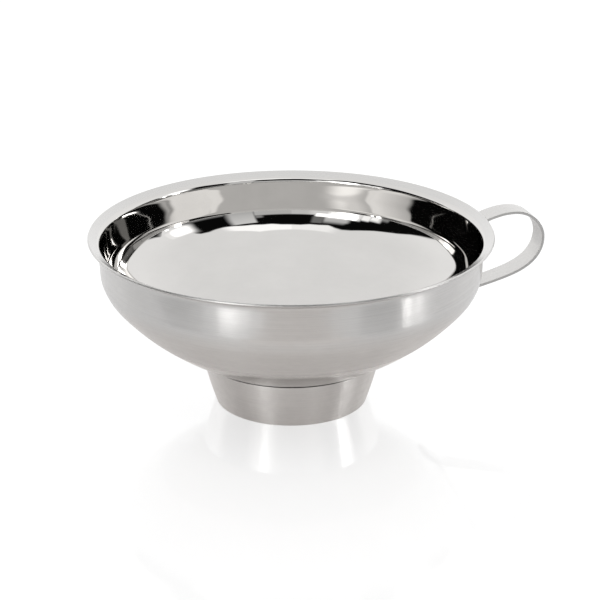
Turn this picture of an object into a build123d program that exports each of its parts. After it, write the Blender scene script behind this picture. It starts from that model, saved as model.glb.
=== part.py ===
from build123d import *
import math
import os

# Stainless canning funnel: a deep-drawn bowl with a flared lip, a tapered neck
# sleeve pushed over the bowl's collar, and a flat strap handle welded to the
# lip and to the underside of the bowl.
# Frame: origin at the centre of the neck's foot, +Z up along the funnel's
# axis, handle towards +X. Millimetres and degrees.
# Profiles are drawn in the XZ plane; their points are (x or radius, z).

# ---------------------------------------------------------------- bowl sizes
SHEET = 0.8              # sheet thickness of bowl and neck
RIM_R = 72.5             # outer radius of the lip's edge
RIM_H = 63.7             # height of the lip's top above the foot
LIP_DEG = 26.3           # lip's rise above horizontal
LIP_BEND_R = 1.7         # bend from lip to wall, at mid sheet
WALL_R = 68.33           # outer radius of the upright wall
WALL_LOW_Z = 50.05       # where the wall starts to curve in

# outer surface of the bowl below the upright wall: radius, height
BOWL_CURVE = [
    (WALL_R, WALL_LOW_Z), (67.40, 46.43), (65.95, 43.53), (63.76, 40.63),
    (61.12, 37.73), (58.26, 34.83), (55.10, 31.93), (51.51, 29.03),
    (47.55, 26.13), (43.28, 23.28), (38.60, 20.45), (34.60, 18.15),
]
CORNER_R = 31.47         # the cone's underside aims at this radius and height,
CORNER_Z = 16.40         # where it turns into the collar
CORNER_BEND = 0.60       # radius of that bend on the underside
COLLAR_END_Z = 10.8      # lower edge of the collar inside the neck

# ---------------------------------------------------------------- neck sizes
# outer surface of the neck: top, half way down (slightly bulged), foot
NECK_SIDE = [(32.22, 16.10), (30.17, 8.05), (27.62, 0.0)]
NECK_RIM_Z = 16.72       # the neck's top rim, tucked up against the bowl
NECK_TUCK_Z = 15.85      # inside, where the rim is dressed back for the bend
RIM_LAND_W = 0.26        # width of the narrow land on the top rim
RIM_LAND_DROP = 0.07     # fall of that land towards the axis
RIM_FILLET = 0.11
FOOT_FILLET = 0.15
SLEEVE_GAP = 0.04        # between the collar and the neck sleeve

# seam weld: offsets across the sheet, and angles along the neck's side arc
SEAM_COLLAR_BITE = 0.15  # start, outwards from the collar's inner side
SEAM_NECK_BITE = 0.20    # sunk into the neck sheet
SEAM_TOE = 0.02          # toe, proud of the neck's inner side
SEAM_BULGE = 0.46        # middle of the bead, outwards from the collar's inner side
SEAM_TOP_DEG = 0.25      # above the collar's end
SEAM_START_DEG = 0.02    # above the collar's end
SEAM_BULGE_DEG = 0.30    # below the collar's end
SEAM_LOW_DEG = 0.42      # below the collar's end

# -------------------------------------------------------------- handle sizes
STRAP_W = 9.5            # strap width
STRAP_T = 1.0            # strap thickness
LAP_GAP = 0.03           # strap to sheet, outside the weld nuggets
LIP_TAB_X = (70.3, 71.3, 72.3)              # stations of the tab under the lip
BOWL_TAB_R = (56.5, 55.3, 54.0, 52.6, 51.0)   # bowl radii under the lower tab
TAB_SPLIT_X = 55         # strap ends below this x belong to the lower tab
LIP_TAB_FILLET = 0.8     # corner radii of the two tabs
BOWL_TAB_FILLET = 2.0
SPOT_UP_R = 1.15         # weld nugget radius, lip
SPOT_UP_X = 71.95        # the upper nuggets' x
SPOT_UP_Y = 2.4          # the two upper nuggets stand this far from centre
SPOT_LOW_R = 1.4         # weld nugget radius, underside
SPOT_LOW_AT = (55.6, 52.4)   # bowl radii of the two lower nuggets
SPOT_SINK = 0.12         # depth of the electrode mark in the strap
SPOT_REACH = 0.9         # nugget length beyond one strap thickness, before trimming
HOLE_EXTRA = 0.1         # hole length beyond two strap thicknesses

# mid line of the strap between its tabs, from the lip round to the lower arm: x, z
LOOP = [
    (73.30, 62.86), (74.90, 63.42), (76.90, 63.98), (79.04, 64.43),
    (81.37, 64.68), (83.70, 64.70), (86.05, 64.38), (88.44, 63.55),
    (90.70, 62.12), (92.40, 60.55), (93.55, 58.95), (94.30, 57.45),
    (94.74, 56.00), (94.93, 54.50), (94.88, 53.00), (94.62, 51.50),
    (94.16, 50.00), (93.42, 48.45), (92.42, 46.95), (91.12, 45.50),
    (89.40, 44.10), (87.15, 42.72), (84.30, 41.40), (80.69, 40.15),
    (76.65, 38.98), (72.02, 37.80), (67.50, 36.72), (63.60, 35.72),
    (61.00, 34.93), (59.40, 34.28), (58.20, 33.62),
]


# ----------------------------------------------------------- plane geometry
def shift(point, direction, distance):
    return (point[0] + distance * direction[0], point[1] + distance * direction[1])


def unit(v):
    length = math.hypot(*v)
    return (v[0] / length, v[1] / length)


def heading(start, end):
    """Unit direction from start to end."""
    return unit((end[0] - start[0], end[1] - start[1]))


def reverse(v):
    return (-v[0], -v[1])


def dot(v, w):
    return v[0] * w[0] + v[1] * w[1]


def polar(centre, radius, angle):
    turn = math.radians(angle)
    return shift(centre, (math.cos(turn), math.sin(turn)), radius)


def angle_about(centre, point):
    return math.degrees(math.atan2(point[1] - centre[1], point[0] - centre[0]))


def circle_through(p, q, r):
    """Centre and radius of the circle through three points."""
    (ax, ay), (bx, by), (cx, cy) = p, q, r
    a2, b2, c2 = dot(p, p), dot(q, q), dot(r, r)
    d = 2 * (ax * (by - cy) + bx * (cy - ay) + cx * (ay - by))
    centre = ((a2 * (by - cy) + b2 * (cy - ay) + c2 * (ay - by)) / d,
              (a2 * (cx - bx) + b2 * (ax - cx) + c2 * (bx - ax)) / d)
    return centre, math.dist(centre, p)


def normals(points, first, last):
    """Unit normals, turned clockwise from the direction of travel.
    first and last are the directions at the two ends."""
    directions = [unit(first)]
    for before, here, after in zip(points, points[1:], points[2:]):
        # the nearer neighbour weighs more
        arriving = shift((0, 0), heading(before, here), 1 / math.dist(before, here))
        leaving = heading(here, after)
        directions.append(unit(shift(arriving, leaving, 1 / math.dist(here, after))))
    directions.append(unit(last))
    return [(d[1], -d[0]) for d in directions]


def offset_points(points, directions, distance):
    return [shift(p, d, distance) for p, d in zip(points, directions)]


# ------------------------------------------------- edges and solids from them
def in_xz(point):
    return Vector(point[0], 0, point[1])


def lines(*points):
    return [Line(in_xz(p), in_xz(q)) for p, q in zip(points, points[1:])]


def arc_through(start, middle, end):
    return ThreePointArc(in_xz(start), in_xz(middle), in_xz(end))


def arc(centre, radius, start, end):
    """Arc about centre between two angles."""
    return arc_through(*(polar(centre, radius, a) for a in (start, 0.5 * (start + end), end)))


def curve_through(points, first, last):
    """Spline with the given directions at its ends."""
    return Spline(*[in_xz(p) for p in points],
                  tangents=[in_xz(unit(first)), in_xz(unit(last))])


def face_of(edges):
    return make_face(Wire(edges))


def ring(edges):
    return revolve(face_of(edges), axis=Axis.Z, revolution_arc=360)


# -------------------------------------------------- shared: neck and collar
NECK_CENTRE, NECK_OUT = circle_through(*NECK_SIDE)   # side arc, outer surface
NECK_IN = NECK_OUT - SHEET
COLLAR_OUT = NECK_IN - SLEEVE_GAP                    # collar is concentric with it
COLLAR_IN = COLLAR_OUT - SHEET


def side_angle(radius, z):
    """Angle about the neck's side centre at which that radius has height z."""
    return math.degrees(math.asin((z - NECK_CENTRE[1]) / radius))


def side_point(radius, angle):
    return polar(NECK_CENTRE, radius, angle)


def side_arc(radius, start, end):
    return arc(NECK_CENTRE, radius, start, end)


COLLAR_END = side_angle(COLLAR_OUT, COLLAR_END_Z)

# ------------------------------------------------------------- shared: lip
HALF = SHEET / 2
LIP_OUTWARD = polar((0, 0), 1, LIP_DEG)              # along the lip
LIP_NORMAL = (-LIP_OUTWARD[1], LIP_OUTWARD[0])       # towards its upper side
LIP_EDGE = (RIM_R - HALF, RIM_H - HALF)              # centre of the rounded edge


def lip_mid(x):
    """Point on the lip's mid sheet."""
    return (x, LIP_EDGE[1] - (LIP_EDGE[0] - x) * LIP_OUTWARD[1] / LIP_OUTWARD[0])


# --------------------------------- shared: bend from the cone to the collar
DOWN = (0.0, -1.0)
CONE_UP = heading((CORNER_R, CORNER_Z), BOWL_CURVE[-1])   # up along the cone
corner_angle = side_angle(COLLAR_OUT, CORNER_Z)
corner = side_point(COLLAR_OUT, corner_angle)
collar_down = polar((0, 0), 1, corner_angle - 90)
corner_turn = math.acos(-dot(CONE_UP, collar_down))
tangent_length = CORNER_BEND * math.tan(corner_turn / 2)
CONE_END = shift(corner, CONE_UP, tangent_length)
BEND_CENTRE = shift(CONE_END, (CONE_UP[1], -CONE_UP[0]), CORNER_BEND)
COLLAR_START = angle_about(NECK_CENTRE, shift(corner, collar_down, tangent_length))

# outer surface from the wall to the bend, and its normals towards the axis
BOWL_OUTER = BOWL_CURVE + [CONE_END]
BOWL_NORMALS = normals(BOWL_OUTER, DOWN, reverse(CONE_UP))


def make_bowl():
    inner = offset_points(BOWL_OUTER, BOWL_NORMALS, SHEET)
    collar_top_out = side_point(COLLAR_OUT, COLLAR_START)
    collar_top_in = side_point(COLLAR_IN, COLLAR_START)
    bend_mid = 0.5 * (angle_about(BEND_CENTRE, CONE_END)
                      + angle_about(BEND_CENTRE, collar_top_out))

    # bend from lip to wall, centred outside the wall and under the lip
    lip_bend_x = WALL_R - SHEET + LIP_BEND_R + HALF
    lip_start = lip_mid(lip_bend_x + LIP_BEND_R * LIP_NORMAL[0])
    lip_bend = (lip_bend_x, lip_start[1] - LIP_BEND_R * LIP_NORMAL[1])
    upper_r = LIP_BEND_R + HALF
    under_r = LIP_BEND_R - HALF
    lip_angle = 90 + LIP_DEG

    return ring([
        # under side and outer side, from the lip's edge downwards
        *lines(shift(LIP_EDGE, LIP_NORMAL, -HALF), polar(lip_bend, under_r, lip_angle)),
        arc(lip_bend, under_r, lip_angle, 180),
        *lines((WALL_R, lip_bend[1]), (WALL_R, WALL_LOW_Z)),
        curve_through(BOWL_OUTER, DOWN, reverse(CONE_UP)),
        arc_through(CONE_END, polar(BEND_CENTRE, CORNER_BEND, bend_mid), collar_top_out),
        side_arc(COLLAR_OUT, COLLAR_START, COLLAR_END),
        # collar's lower edge
        *lines(side_point(COLLAR_OUT, COLLAR_END), side_point(COLLAR_IN, COLLAR_END)),
        # inner side, back up
        side_arc(COLLAR_IN, COLLAR_END, COLLAR_START),
        arc_through(collar_top_in, polar(BEND_CENTRE, CORNER_BEND + SHEET, bend_mid),
                    inner[-1]),
        curve_through(inner[::-1], CONE_UP, reverse(DOWN)),
        *lines((WALL_R - SHEET, WALL_LOW_Z), (WALL_R - SHEET, lip_bend[1])),
        arc(lip_bend, upper_r, 180, lip_angle),
        *lines(polar(lip_bend, upper_r, lip_angle), shift(LIP_EDGE, LIP_NORMAL, HALF)),
        # rounded edge of the lip
        arc(LIP_EDGE, HALF, lip_angle, LIP_DEG - 90),
    ])


def circles_of(shape, *radii):
    return [edge for edge in shape.edges().filter_by(GeomType.CIRCLE)
            if any(abs(edge.radius - radius) < 0.01 for radius in radii)]


def make_neck():
    rim_angle = side_angle(NECK_OUT, NECK_RIM_Z)
    tuck_angle = side_angle(NECK_IN, NECK_TUCK_Z)
    foot_angle_out = side_angle(NECK_OUT, 0.0)
    foot_angle_in = side_angle(NECK_IN, 0.0)
    rim = side_point(NECK_OUT, rim_angle)
    land_end = (rim[0] - RIM_LAND_W, NECK_RIM_Z - RIM_LAND_DROP)
    foot_out = side_point(NECK_OUT, foot_angle_out)
    foot_in = side_point(NECK_IN, foot_angle_in)
    neck = ring([
        side_arc(NECK_OUT, foot_angle_out, rim_angle),
        *lines(rim, land_end, side_point(NECK_IN, tuck_angle)),
        side_arc(NECK_IN, tuck_angle, foot_angle_in),
        *lines(foot_in, foot_out),
    ])
    neck = fillet(circles_of(neck, rim[0]), RIM_FILLET)
    return fillet(circles_of(neck, foot_out[0], foot_in[0]), FOOT_FILLET)


def make_seam_weld(bowl, neck):
    """Bead from the collar's lower edge to the neck's inner side."""
    start_r = COLLAR_IN + SEAM_COLLAR_BITE
    sunk_r = NECK_IN + SEAM_NECK_BITE
    top_angle = COLLAR_END + SEAM_TOP_DEG
    low_angle = COLLAR_END - SEAM_LOW_DEG
    start = side_point(start_r, COLLAR_END + SEAM_START_DEG)
    top = side_point(start_r, top_angle)
    toe = side_point(NECK_IN - SEAM_TOE, low_angle)
    bulge = side_point(COLLAR_IN + SEAM_BULGE, COLLAR_END - SEAM_BULGE_DEG)
    bead = ring([
        *lines(top, side_point(sunk_r, top_angle), side_point(sunk_r, low_angle), toe),
        arc_through(toe, bulge, start),
        *lines(start, top),
    ])
    return bead - bowl - neck


# ------------------------------------------------------------------- handle
LAP = LAP_GAP + STRAP_T / 2        # strap's mid line to the sheet's surface


def under_lip(x):
    """Strap mid-line point under the lip."""
    mid_x, mid_z = lip_mid(x)
    return (mid_x, mid_z - (HALF + LAP) / LIP_OUTWARD[0])


def under_bowl(radius):
    """Strap mid-line point under the bowl's surface at that radius, and the
    surface's normal there, towards the sheet."""
    for i, (high, low) in enumerate(zip(BOWL_CURVE, BOWL_CURVE[1:])):
        if low[0] <= radius <= high[0]:
            k = (radius - low[0]) / (high[0] - low[0])
            z = low[1] + k * (high[1] - low[1])
            n_high, n_low = BOWL_NORMALS[i], BOWL_NORMALS[i + 1]
            normal = unit(tuple(a + k * (b - a) for a, b in zip(n_low, n_high)))
            # the chord lies inside a convex curve: lift to the curve
            bend = math.acos(dot(n_low, n_high))
            lift = 4 * k * (1 - k) * math.dist(high, low) * bend / 8
            return shift((radius, z), normal, -lift - LAP), normal
    raise ValueError(radius)


# weld spots: strap mid-line point, direction to the sheet, nugget radius, y
UPPER_SPOTS = [(under_lip(SPOT_UP_X), LIP_NORMAL, SPOT_UP_R, y)
               for y in (-SPOT_UP_Y, SPOT_UP_Y)]
LOWER_SPOTS = [(*under_bowl(radius), SPOT_LOW_R, 0.0) for radius in SPOT_LOW_AT]


def rod(spot, back, length):
    """Cylinder at a weld spot, starting that far back from the mid line."""
    point, direction, radius, y = spot
    start = shift(point, direction, -back)
    plane = Plane(origin=(start[0], y, start[1]), z_dir=(direction[0], 0, direction[1]))
    return plane * extrude(Circle(radius), amount=length)


def tab_corners(strap, lower):
    """Short edges through the strap's thickness at one tab's two corners."""
    return [edge for edge in strap.edges()
            if edge.length < STRAP_T * 1.05
            and abs(abs(edge.center().Y) - STRAP_W / 2) < 0.01
            and (edge.center().X < TAB_SPLIT_X) == lower]


def make_strap():
    tab = [under_bowl(radius)[0] for radius in BOWL_TAB_R]
    mid_line = [under_lip(x) for x in LIP_TAB_X] + LOOP + tab
    last = heading(tab[-2], tab[-1])
    sideways = normals(mid_line, LIP_OUTWARD, last)
    inside = offset_points(mid_line, sideways, STRAP_T / 2)
    outside = offset_points(mid_line, sideways, -STRAP_T / 2)
    profile = face_of([
        curve_through(inside, LIP_OUTWARD, last),
        *lines(inside[-1], outside[-1]),
        curve_through(outside[::-1], reverse(last), reverse(LIP_OUTWARD)),
        *lines(outside[0], inside[0]),
    ])
    strap = extrude(profile, amount=STRAP_W / 2, both=True)
    strap = fillet(tab_corners(strap, lower=True), BOWL_TAB_FILLET)
    strap = fillet(tab_corners(strap, lower=False), LIP_TAB_FILLET)
    for spot in UPPER_SPOTS + LOWER_SPOTS:
        strap = strap - rod(spot, back=STRAP_T, length=2 * STRAP_T + HOLE_EXTRA)
    return strap


def make_spot_welds(spots, bowl):
    """Nuggets filling the strap's holes, trimmed by the bowl."""
    nuggets = []
    for spot in spots:
        trimmed = rod(spot, back=STRAP_T / 2 - SPOT_SINK, length=STRAP_T + SPOT_REACH) - bowl
        (x, z), y = spot[0], spot[3]
        # keep the piece on the strap's side of the sheet
        nuggets.append(min(trimmed.solids(),
                           key=lambda s: (s.center() - Vector(x, y, z)).length))
    return Compound(children=nuggets)


# ---------------------------------------------------------------- write out
def solids_of(shape):
    """The single solid, or a compound where there are several."""
    solids = shape.solids()
    return solids[0] if len(solids) == 1 else Compound(children=list(solids))


bowl = make_bowl()
neck = make_neck()
parts = {
    "bowl": solids_of(bowl),
    "neck_sleeve": solids_of(neck),
    "neck_seam_weld": solids_of(make_seam_weld(bowl, neck)),
    "handle_strap": solids_of(make_strap()),
    "handle_upper_spot_welds": make_spot_welds(UPPER_SPOTS, bowl),
    "handle_lower_spot_welds": make_spot_welds(LOWER_SPOTS, bowl),
}
os.makedirs("parts", exist_ok=True)
for name, shape in parts.items():
    export_step(shape, f"parts/{name}.step")
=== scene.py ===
"""A spun steel funnel with a wide bowl, a short neck and a strap handle.

The funnel's axis is Z and the neck's foot stands at z = 0. The handle is a bent
strap on the +X side, welded under the lip and to the outside of the bowl.
Sizes are in mm and become metres when the meshes are made. Outlines are (r, z)
points: distance from the axis and height.
"""
import math
import bpy
import numpy as np
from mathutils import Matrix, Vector


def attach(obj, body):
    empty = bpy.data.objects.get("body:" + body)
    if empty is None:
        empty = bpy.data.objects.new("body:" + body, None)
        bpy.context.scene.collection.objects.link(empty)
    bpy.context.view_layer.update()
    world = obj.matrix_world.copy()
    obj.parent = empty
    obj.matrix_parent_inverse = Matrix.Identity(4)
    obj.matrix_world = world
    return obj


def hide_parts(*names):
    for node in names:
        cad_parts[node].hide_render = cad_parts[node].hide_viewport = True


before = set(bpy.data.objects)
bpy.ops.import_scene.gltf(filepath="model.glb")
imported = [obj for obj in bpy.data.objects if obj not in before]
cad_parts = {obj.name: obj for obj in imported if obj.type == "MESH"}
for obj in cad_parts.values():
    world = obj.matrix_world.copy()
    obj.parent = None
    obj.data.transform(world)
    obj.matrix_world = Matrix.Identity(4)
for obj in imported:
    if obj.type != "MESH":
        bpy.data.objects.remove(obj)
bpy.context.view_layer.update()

MM = 0.001
PI = math.pi

# ------------------------------------------------------------------ bowl, mm
SHEET = 0.8
HALF = SHEET / 2
RIM_R, RIM_H = 72.5, 63.7
LIP_SLOPE = math.radians(26.3)
LIP_BEND_R = 2.1                         # to the middle of the sheet
# outer side of the bowl below the wall: (r, z), downwards
BOWL_CURVE = [
    (68.33, 50.05), (67.40, 46.43), (65.95, 43.53), (63.76, 40.63),
    (61.12, 37.73), (58.26, 34.83), (55.10, 31.93), (51.51, 29.03),
    (47.55, 26.13), (43.28, 23.28), (38.60, 20.45), (34.60, 18.15),
]
WALL_R, WALL_LOW_Z = BOWL_CURVE[0]
# the wall is very slightly barrelled: (height, lean outward in degrees)
LEAN = [(WALL_LOW_Z, 3.9), (52.5, 2.65), (55.0, 1.07), (57.5, 0.66), (59.0, 0.3), (60.3, 5.6)]
EDGE_END, EDGE_FILLET = 0.24, 0.13       # sheared lip edge, corners just broken
CORNER_R, CORNER_Z, CORNER_BEND = 31.47, 16.40, 0.60    # where the cone meets the collar
COLLAR_END_Z = 10.8

# ------------------------------------------------------------------ neck, mm
NECK_OUTLINE = [(32.22, 16.10), (30.17, 8.05), (27.62, 0.0)]   # outer side: (r, z)
NECK_RIM_Z, NECK_TUCK_Z = 16.72, 15.85   # tops of its outer and inner sides
NECK_TOP_FILLET, NECK_FOOT_FILLET = 0.07, 0.16
NECK_LAND_IN, NECK_LAND_DROP = 0.26, 0.07    # inner end of the top, from the outer corner
SLEEVE_GAP = 0.04
SEAM_LEG, SEAM_BULGE, SEAM_SINK = 1.0, 0.16, 0.10

# ---------------------------------------------------------------- handle, mm
STRAP_W, STRAP_T, LAP_GAP = 9.5, 1.0, 0.03
STRAP_CELL = STRAP_W / 40                # spacing of its grid
STRAP_EDGE_R, STRAP_CROWN = 0.22, 0.018
STRAP_EDGE_LINES = [0.0, 0.012, 0.05, 0.11, 0.165]   # closer grid lines, in from the edge
UPPER_CORNER_R, LOWER_CORNER_R = 0.8, 2.0
LIP_TAB_X = [70.3, 71.3, 72.3]           # strap stations under the lip
BOWL_TAB_R = [56.5, 55.3, 54.0, 52.6, 51.0]    # strap stations on the bowl
# middle line of the free loop: (x, z), from the lip round to the bowl
LOOP = [
    (73.30, 62.86), (74.90, 63.42), (76.90, 63.98), (79.04, 64.43),
    (81.37, 64.68), (83.70, 64.70), (86.05, 64.38), (88.44, 63.55),
    (90.70, 62.12), (92.40, 60.55), (93.55, 58.95), (94.30, 57.45),
    (94.74, 56.00), (94.93, 54.50), (94.88, 53.00), (94.62, 51.50),
    (94.16, 50.00), (93.42, 48.45), (92.42, 46.95), (91.12, 45.50),
    (89.40, 44.10), (87.15, 42.72), (84.30, 41.40), (80.69, 40.15),
    (76.65, 38.98), (72.02, 37.80), (67.50, 36.72), (63.60, 35.72),
    (61.0, 34.93), (59.4, 34.28), (58.2, 33.62),
]
UPPER_SPOT_X, UPPER_SPOT_Y, UPPER_SPOT_R = 71.95, 2.4, 1.15
LOWER_SPOT_AT, LOWER_SPOT_R = (55.6, 52.4), 1.4
SPOT_CLEAR, SPOT_SINK = 0.02, 0.12


# ------------------------------------------------------------- plane geometry
def unit(v):
    length = math.hypot(v[0], v[1])
    return (v[0] / length, v[1] / length)


def add(p, direction, length=1.0):
    return (p[0] + length * direction[0], p[1] + length * direction[1])


def minus(p, q):
    return (p[0] - q[0], p[1] - q[1])


def angle_of(p):
    return math.atan2(p[1], p[0])


def arc(centre, radius, start, end, count):
    angle = np.linspace(start, end, count)
    return np.stack([centre[0] + radius * np.cos(angle), centre[1] + radius * np.sin(angle)], 1)


def line(p, q, count):
    t = np.linspace(0, 1, count)[:, None]
    return np.array(p)[None] * (1 - t) + np.array(q)[None] * t


def hermite(t, start, end, slope0, slope1):
    return ((2 * t**3 - 3 * t**2 + 1) * start + (t**3 - 2 * t**2 + t) * slope0
            + (-2 * t**3 + 3 * t**2) * end + (t**3 - t**2) * slope1)


def spline(points, start_dir, end_dir, count):
    """Samples of a clamped cubic spline through the points, and their unit tangents."""
    p = np.array(points, float)
    gap = np.hypot(*np.diff(p, axis=0).T)
    dist = np.r_[0, np.cumsum(gap)]
    last = len(p) - 1
    matrix = np.zeros((last + 1, last + 1))
    rhs = np.zeros((last + 1, 2))
    matrix[0, 0] = matrix[-1, -1] = 1
    rhs[0], rhs[-1] = start_dir, end_dir
    for i in range(1, last):
        before, after = gap[i - 1], gap[i]
        matrix[i, i - 1:i + 2] = after, 2 * (before + after), before
        rhs[i] = 3 * (after * (p[i] - p[i - 1]) / before + before * (p[i + 1] - p[i]) / after)
    slope = np.linalg.solve(matrix, rhs)
    at = np.linspace(0, dist[-1], count)
    k = np.clip(np.searchsorted(dist, at, "right") - 1, 0, last - 1)
    t = ((at - dist[k]) / gap[k])[:, None]
    span = gap[k][:, None]
    place = hermite(t, p[k], p[k + 1], span * slope[k], span * slope[k + 1])
    tangent = ((6 * t**2 - 6 * t) * p[k] / span + (3 * t**2 - 4 * t + 1) * slope[k]
               + (-6 * t**2 + 6 * t) * p[k + 1] / span + (3 * t**2 - 2 * t) * slope[k + 1])
    tangent /= np.linalg.norm(tangent, axis=1)[:, None]
    return place, tangent


def circle_through(points):
    p, q, s = np.array(points)
    centre = np.linalg.solve([q - p, s - p], [(q @ q - p @ p) / 2, (s @ s - p @ p) / 2])
    return tuple(centre), math.dist(centre, p)


def closed_outline(runs):
    """Join (points, zone) runs into one closed loop without near-coincident points."""
    points, zones = [], []
    for run, zone in runs:
        for r, z in run:
            if points and math.dist(points[-1], (r, z)) < 0.010:
                continue
            points.append((float(r), float(max(0.0, z))))
            zones.append(zone)
    while math.dist(points[0], points[-1]) < 0.012:
        points.pop()
        zones.pop()
    return points, zones


# --------------------------------------------- neck arc, shared by the collar
NECK_C, NECK_R = circle_through(NECK_OUTLINE)
NECK_R_IN = NECK_R - SHEET
COLLAR_R_OUT = NECK_R_IN - SLEEVE_GAP    # the collar sits inside the neck
COLLAR_R_IN = COLLAR_R_OUT - SHEET


def neck_angle(radius, z):
    return math.asin((z - NECK_C[1]) / radius)


def neck_point(radius, angle):
    return add(NECK_C, (math.cos(angle), math.sin(angle)), radius)


# ---------------------------------------------------------------- bowl layout
LIP_ALONG = (math.cos(LIP_SLOPE), math.sin(LIP_SLOPE))   # outwards and up
LIP_UP = (-LIP_ALONG[1], LIP_ALONG[0])
EDGE_MID = (RIM_R - HALF, RIM_H - HALF)
LEAN_FOOT, LEAN_TOP = math.radians(LEAN[0][1]), math.radians(LEAN[-1][1])
# the bend's centre is outside the bowl, so the inner side has the larger radius
BEND_R_IN, BEND_R_OUT = LIP_BEND_R + HALF, LIP_BEND_R - HALF


def lip_z(r):
    """Height of the middle of the lip's sheet."""
    return EDGE_MID[1] - (EDGE_MID[0] - r) * (LIP_ALONG[1] / LIP_ALONG[0])


def lean_at(z):
    """Lean of the wall at height z, in radians, with no overshoot between knots."""
    knots, leans = np.array(LEAN).T
    gap = np.diff(knots)
    rise = np.diff(leans) / gap
    inner = [0 if a * b <= 0 else 2 * a * b / (a + b) for a, b in zip(rise[:-1], rise[1:])]
    slope = np.r_[rise[0], inner, rise[-1]]
    z = np.clip(z, knots[0], knots[-1])
    k = np.clip(np.searchsorted(knots, z, "right") - 1, 0, len(gap) - 1)
    t = (z - knots[k]) / gap[k]
    return np.radians(hermite(t, leans[k], leans[k + 1], gap[k] * slope[k], gap[k] * slope[k + 1]))


def wall_inside():
    """Inner side of the wall, upwards to the lip bend, and the bend's centre.
    The wall's top and the bend depend on each other, so they are settled in turns."""
    low_z = WALL_LOW_Z + SHEET * math.sin(LEAN_FOOT)
    low_r = WALL_R - SHEET * math.cos(LEAN_FOOT)
    top_z = 60.2
    for _ in range(6):
        z = np.linspace(low_z, top_z, 46)
        slope = np.tan(lean_at(z))
        r = low_r + np.r_[0, np.cumsum((slope[1:] + slope[:-1]) / 2 * np.diff(z))]
        bend_r = r[-1] + BEND_R_IN * math.cos(LEAN_TOP)
        bend_z = lip_z(bend_r - LIP_BEND_R * LIP_ALONG[1]) - LIP_BEND_R * LIP_ALONG[0]
        top_z = bend_z + BEND_R_IN * math.sin(LEAN_TOP)
    return np.stack([r, z], 1), (bend_r, bend_z)


wall_in, bend_c = wall_inside()
wall_lean = lean_at(wall_in[:, 1])
wall_out = wall_in + SHEET * np.stack([np.cos(wall_lean), -np.sin(wall_lean)], 1)

# rounded corner between the cone and the collar, on the outer side
cone_up = unit(minus(BOWL_CURVE[-1], (CORNER_R, CORNER_Z)))
corner_angle = neck_angle(COLLAR_R_OUT, CORNER_Z)
corner = (neck_point(COLLAR_R_OUT, corner_angle)[0], CORNER_Z)
collar_down = unit((math.sin(corner_angle), -math.cos(corner_angle)))
corner_turn = math.acos(-(cone_up[0] * collar_down[0] + cone_up[1] * collar_down[1]))
corner_cut = CORNER_BEND * math.tan(corner_turn / 2)
cone_end = add(corner, cone_up, corner_cut)
collar_top = add(corner, collar_down, corner_cut)
corner_c = add(cone_end, (cone_up[1], -cone_up[0]), CORNER_BEND)
collar_top_angle = angle_of(minus(collar_top, NECK_C))
collar_end_angle = neck_angle(COLLAR_R_OUT, COLLAR_END_Z)

bowl_out, bowl_tan = spline(BOWL_CURVE + [cone_end], (-math.sin(LEAN_FOOT), -math.cos(LEAN_FOOT)),
                            (-cone_up[0], -cone_up[1]), 300)
bowl_nor = np.stack([bowl_tan[:, 1], -bowl_tan[:, 0]], 1)    # towards the axis and up

INSIDE, LIP, OUTSIDE, CUT = range(4)     # the bowl's zones, also its material slots


def spun_marks(r):
    """Faint turned ridges on the outer surface: one set beside the neck, one further out."""
    near = np.clip((44.5 - r) / 6.0, 0, 1) * np.clip((r - 33.2) / 1.2, 0, 1)
    far = np.clip((66.5 - r) / 8.0, 0, 1) * np.clip((r - 40.0) / 8.0, 0, 1)
    phase = 2 * PI * r / 2.9             # ridge spacing 2.9
    return (0.003 * near * np.sin(phase + 0.7 * np.sin(r))
            + 0.0035 * far * np.sin(phase + np.sin(r * 0.8)))


def bowl_outline():
    """From the lip's edge down the inside, round the collar's end and up the outside."""
    edge_c = add(EDGE_MID, LIP_ALONG, EDGE_END - EDGE_FILLET)
    upper_c = add(edge_c, LIP_UP, HALF - EDGE_FILLET)
    lower_c = add(edge_c, LIP_UP, EDGE_FILLET - HALF)
    cone_angle = angle_of(minus(cone_end, corner_c))
    collar_angle = angle_of(minus(collar_top, corner_c))
    lip_turn, wall_turn = PI / 2 + LIP_SLOPE, PI - LEAN_TOP
    ridged = bowl_out + bowl_nor * spun_marks(bowl_out[:, 0])[:, None]
    return closed_outline([
        (line(add(upper_c, LIP_UP, EDGE_FILLET), add(bend_c, LIP_UP, BEND_R_IN), 14), LIP),
        (arc(bend_c, BEND_R_IN, lip_turn, wall_turn, 26), INSIDE),
        (wall_in[::-1], INSIDE),
        (bowl_out + SHEET * bowl_nor, INSIDE),
        (arc(corner_c, CORNER_BEND + SHEET, cone_angle, collar_angle, 14), INSIDE),
        (arc(NECK_C, COLLAR_R_IN, collar_top_angle, collar_end_angle, 10), INSIDE),
        (line(neck_point(COLLAR_R_IN, collar_end_angle),
              neck_point(COLLAR_R_OUT, collar_end_angle), 4), CUT),
        (arc(NECK_C, COLLAR_R_OUT, collar_end_angle, collar_top_angle, 8), OUTSIDE),
        (arc(corner_c, CORNER_BEND, collar_angle, cone_angle, 8), OUTSIDE),
        (ridged[::-1], OUTSIDE),
        (wall_out, OUTSIDE),
        (arc(bend_c, BEND_R_OUT, wall_turn, lip_turn, 16), OUTSIDE),
        (line(add(bend_c, LIP_UP, BEND_R_OUT), add(lower_c, LIP_UP, -EDGE_FILLET), 10), OUTSIDE),
        (arc(lower_c, EDGE_FILLET, LIP_SLOPE - PI / 2, LIP_SLOPE, 6), CUT),
        (arc(upper_c, EDGE_FILLET, LIP_SLOPE, lip_turn, 6), CUT),
    ])


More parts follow.
